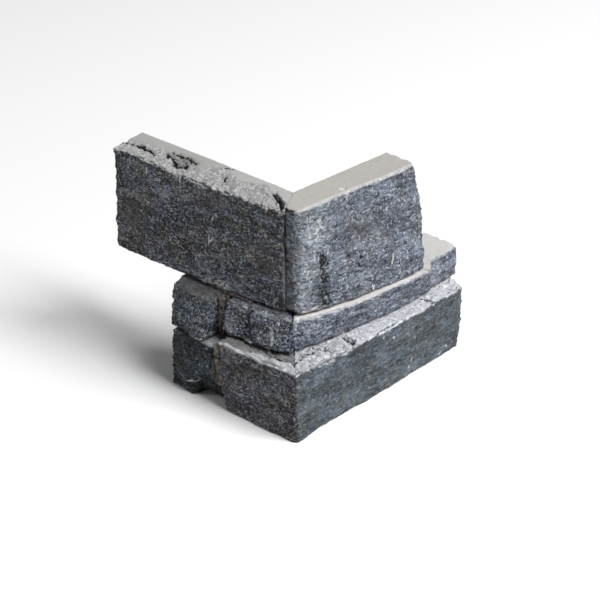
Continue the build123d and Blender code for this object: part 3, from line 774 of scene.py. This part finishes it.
br_split = split_depth(depths=(49.8, 45.0), bulges=(-0.5, 3.0), leans=(4.2, -2.5), seed=4.4,
                       run=(-62.0, 139.0), foot=0.0, top=bottom_top)
make_stone(
    "split_bottom_right", "bottom_right_stone", "right", foot=0.0, top=bottom_top,
    depth=rounded_to(br_split, bottom_mitre[1]), start=mitre(*bottom_mitre, -1),
    finish=leaning_end(127.0, skew=-0.2, at_deep=45.0), look=green_slate, marks=br_marks,
    edges=(0.002, 2.4, 0.5, 2.2, 0.9, 1.8), rough=(0.0, 0.9, 0.05, 0.6, 0.0, 0.35),
    sawn_sides=(START, BACK, FOOT), skew=0.16, seed=8.0,
)

# The bonding mortar
# Brown-grey mortar squeezed into the beds, the mitres and the upright joints, matt and sandy.
sandy = bpy.data.materials.new("bonding_mortar")
sandy.use_nodes = True
sand_nodes, sand_links = sandy.node_tree.nodes, sandy.node_tree.links
sand_shader = sand_nodes["Principled BSDF"]
sand_shader.inputs["Roughness"].default_value = 0.95
sand_where = sand_nodes.new("ShaderNodeTexCoord")
sand_grain = sand_nodes.new("ShaderNodeTexNoise")
sand_grain.inputs["Scale"].default_value = 420
sand_grain.inputs["Detail"].default_value = 5
sand_colour = sand_nodes.new("ShaderNodeValToRGB")
sand_colour.color_ramp.elements[0].position = 0.38
sand_colour.color_ramp.elements[0].color = (0.030, 0.026, 0.022, 1)
sand_colour.color_ramp.elements[1].position = 0.66
sand_colour.color_ramp.elements[1].color = (0.20, 0.185, 0.165, 1)
sand_bump = sand_nodes.new("ShaderNodeBump")
sand_bump.inputs["Distance"].default_value = 0.0008
sand_links.new(sand_where.outputs["Object"], sand_grain.inputs["Vector"])
sand_links.new(sand_grain.outputs["Fac"], sand_colour.inputs["Fac"])
sand_links.new(sand_colour.outputs["Color"], sand_shader.inputs["Base Color"])
sand_links.new(sand_grain.outputs["Fac"], sand_bump.inputs["Height"])
sand_links.new(sand_bump.outputs["Normal"], sand_shader.inputs["Normal"])


def mortar_bar(start, end, right, left, foot, top, lean=0.0):
    """A bar of mortar laid from start to end on plan, from right to left of that line and from foot
    to top, its skin roughened by random height along each side. Its end reaches further by lean at
    the foot than at the top."""
    start, end = np.array(start, float), np.array(end, float)
    run = np.linalg.norm(end - start)
    cells = [max(2, round(size / 1.2)) for size in (run, left - right, top - foot)]
    place, rims = block_skin(cells)
    ahead = (end - start) / run
    aside = np.array([-ahead[1], ahead[0]])
    reach = run + lean * (1 - place[:, 2])
    flat = start + (place[:, :1] * reach[:, None]) * ahead + (right + place[:, 1:2] * (left - right)) * aside
    spots = np.concatenate([flat, foot + place[:, 2:] * (top - foot)], axis=1)
    along, across = place[:, 0], place[:, 1]
    wide = left - right
    gaps = np.stack([along * run, (1 - along) * run, across * wide, (1 - across) * wide])
    worn = np.clip(1 - gaps / 1.5, 0, 1) ** 2 * (0.35 + 0.9 * swell(spots, 5, 3, 0.6))
    spots[:, :2] += (worn[0] - worn[1])[:, None] * ahead + (worn[2] - worn[3])[:, None] * aside
    return spots, rims


bars = [
    mortar_bar((-22, 0), (23, 0), -27.5, -2.5, bottom_top, middle_foot),
    mortar_bar((-22, 0), (2, 0), -36.5, -25, bottom_top, middle_foot),
    mortar_bar((-2, 0), (16, 0), -31.5, -25, bottom_top, middle_foot),
    mortar_bar((2.5, -25), (2.5, 124.5), -20.5, 0, bottom_top, middle_foot),
    mortar_bar((-57.5, 0), (21.5, 0), -20, -2.5, middle_top, top_foot),
    mortar_bar((-57.5, 0), (-10, 0), -31.5, -18, middle_top, top_foot),
    mortar_bar((-12, 0), (14, 0), -25.5, -18, middle_top, top_foot),
    mortar_bar((2.5, -20), (2.5, 88), -19, 0, middle_top, top_foot),
    mortar_bar((-57.5, 0), (-22, 0), -38.5, -2.5, low_bed, low_foot),
    mortar_bar((1.5, -2.3), (14.6, -22.8), -0.4, 0.4, middle_top, course_top - 1),
    mortar_bar((1.7, -1.8), (22.5, -23.8), -0.4, 0.4, bottom_top, middle_top - 0.6),
    mortar_bar((1.8, -1.8), (46, -46), -0.4, 0.4, 1, bottom_top - 0.8),
    mortar_bar((-35, 0), (-29, 0), -38.5, -2.5, low_bed, middle_top),
    mortar_bar((-35, 0), (-22, 0), -36, -2.5, low_bed, middle_foot),
    mortar_bar((-24, 0), (-22, 0), -41, -2.5, 1, bottom_top, 7.5),
    mortar_bar((-25.5, 0), (-20.5, 0), -52.3, -40, 16, 46, 4.5),
]
starts = np.cumsum([0] + [len(spots) for spots, rims in bars[:-1]])
mortar_spots = np.concatenate([spots for spots, rims in bars]) / 1000 + [corner_x, corner_y, 0]
mortar_rims = np.concatenate([rims + first for (spots, rims), first in zip(bars, starts)])
mortar_mesh = bpy.data.meshes.new("mortar_fill")
mortar_mesh.from_pydata(mortar_spots, [], mortar_rims.tolist())
mortar_mesh.polygons.foreach_set("use_smooth", np.ones(len(mortar_mesh.polygons), bool))
mortar_mesh.materials.append(sandy)
mortar_mesh.update()
mortar = bpy.data.objects.new("mortar_fill", mortar_mesh)
bpy.context.scene.collection.objects.link(mortar)
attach(mortar, "root")
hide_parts("joint_mortar")

# The floor
# A plain pale sheet that the unit stands on.
sheet = bpy.data.meshes.new("floor")
reach = 6
corners = [(-reach, -reach, 0), (reach, -reach, 0), (reach, reach, 0), (-reach, reach, 0)]
sheet.from_pydata(corners, [], [(0, 1, 2, 3)])
floor = bpy.data.objects.new("floor", sheet)
bpy.context.scene.collection.objects.link(floor)
white = bpy.data.materials.new("floor_white")
white.use_nodes = True
white.node_tree.nodes["Principled BSDF"].inputs["Base Color"].default_value = (0.80, 0.80, 0.80, 1)
white.node_tree.nodes["Principled BSDF"].inputs["Roughness"].default_value = 0.9
sheet.materials.append(white)

# The light
# A large soft box high on the right and a little behind, and a weak one low on the left, in a
# pale room.
world = bpy.context.scene.world or bpy.data.worlds.new("studio")
bpy.context.scene.world = world
world.use_nodes = True
world.node_tree.nodes["Background"].inputs["Color"].default_value = (0.96, 0.98, 1, 1)
world.node_tree.nodes["Background"].inputs["Strength"].default_value = 0.12
lamp_distance = 4
for lamp_name, size, power, toward in (
    ("soft_box", 2.4, 265, Vector((0.60, 0.16, 0.78))),
    ("side_box", 1.0, 22, Vector((-0.62, -0.55, 0.56))),
):
    lamp = bpy.data.lights.new(lamp_name, "AREA")
    lamp.shape = "SQUARE"
    lamp.size = size
    lamp.energy = power
    lamp_object = bpy.data.objects.new(lamp_name, lamp)
    toward = toward.normalized()
    place = Matrix.Translation(toward * lamp_distance) @ toward.to_track_quat("Z", "Y").to_matrix().to_4x4()
    lamp_object.matrix_world = place
    bpy.context.scene.collection.objects.link(lamp_object)
bpy.context.scene.view_settings.view_transform = "Standard"

# The camera
# It looks down on the outer corner from 1.2 m away, turned 43.9 degrees from the front and raised
# 27.8 degrees. The focal length is in the photograph's pixels.
focal_length = 1750
photo_width = 600
turn = np.radians(43.86)
rise = np.radians(27.82)
back = Vector((np.sin(turn) * np.cos(rise), -np.cos(turn) * np.cos(rise), np.sin(rise)))
right = Vector((np.cos(turn), np.sin(turn), 0))
up = back.cross(right)
lens = bpy.data.cameras.new("camera")
lens.sensor_width = 36
lens.lens = lens.sensor_width * focal_length / photo_width
lens.clip_end = 50
camera = bpy.data.objects.new("camera", lens)
stand = Vector((0.73174 + corner_x, -0.75539 + corner_y, 0.62441))
camera.matrix_world = Matrix.Translation(stand) @ Matrix((right, up, back)).transposed().to_4x4()
bpy.context.scene.collection.objects.link(camera)
bpy.context.scene.camera = camera
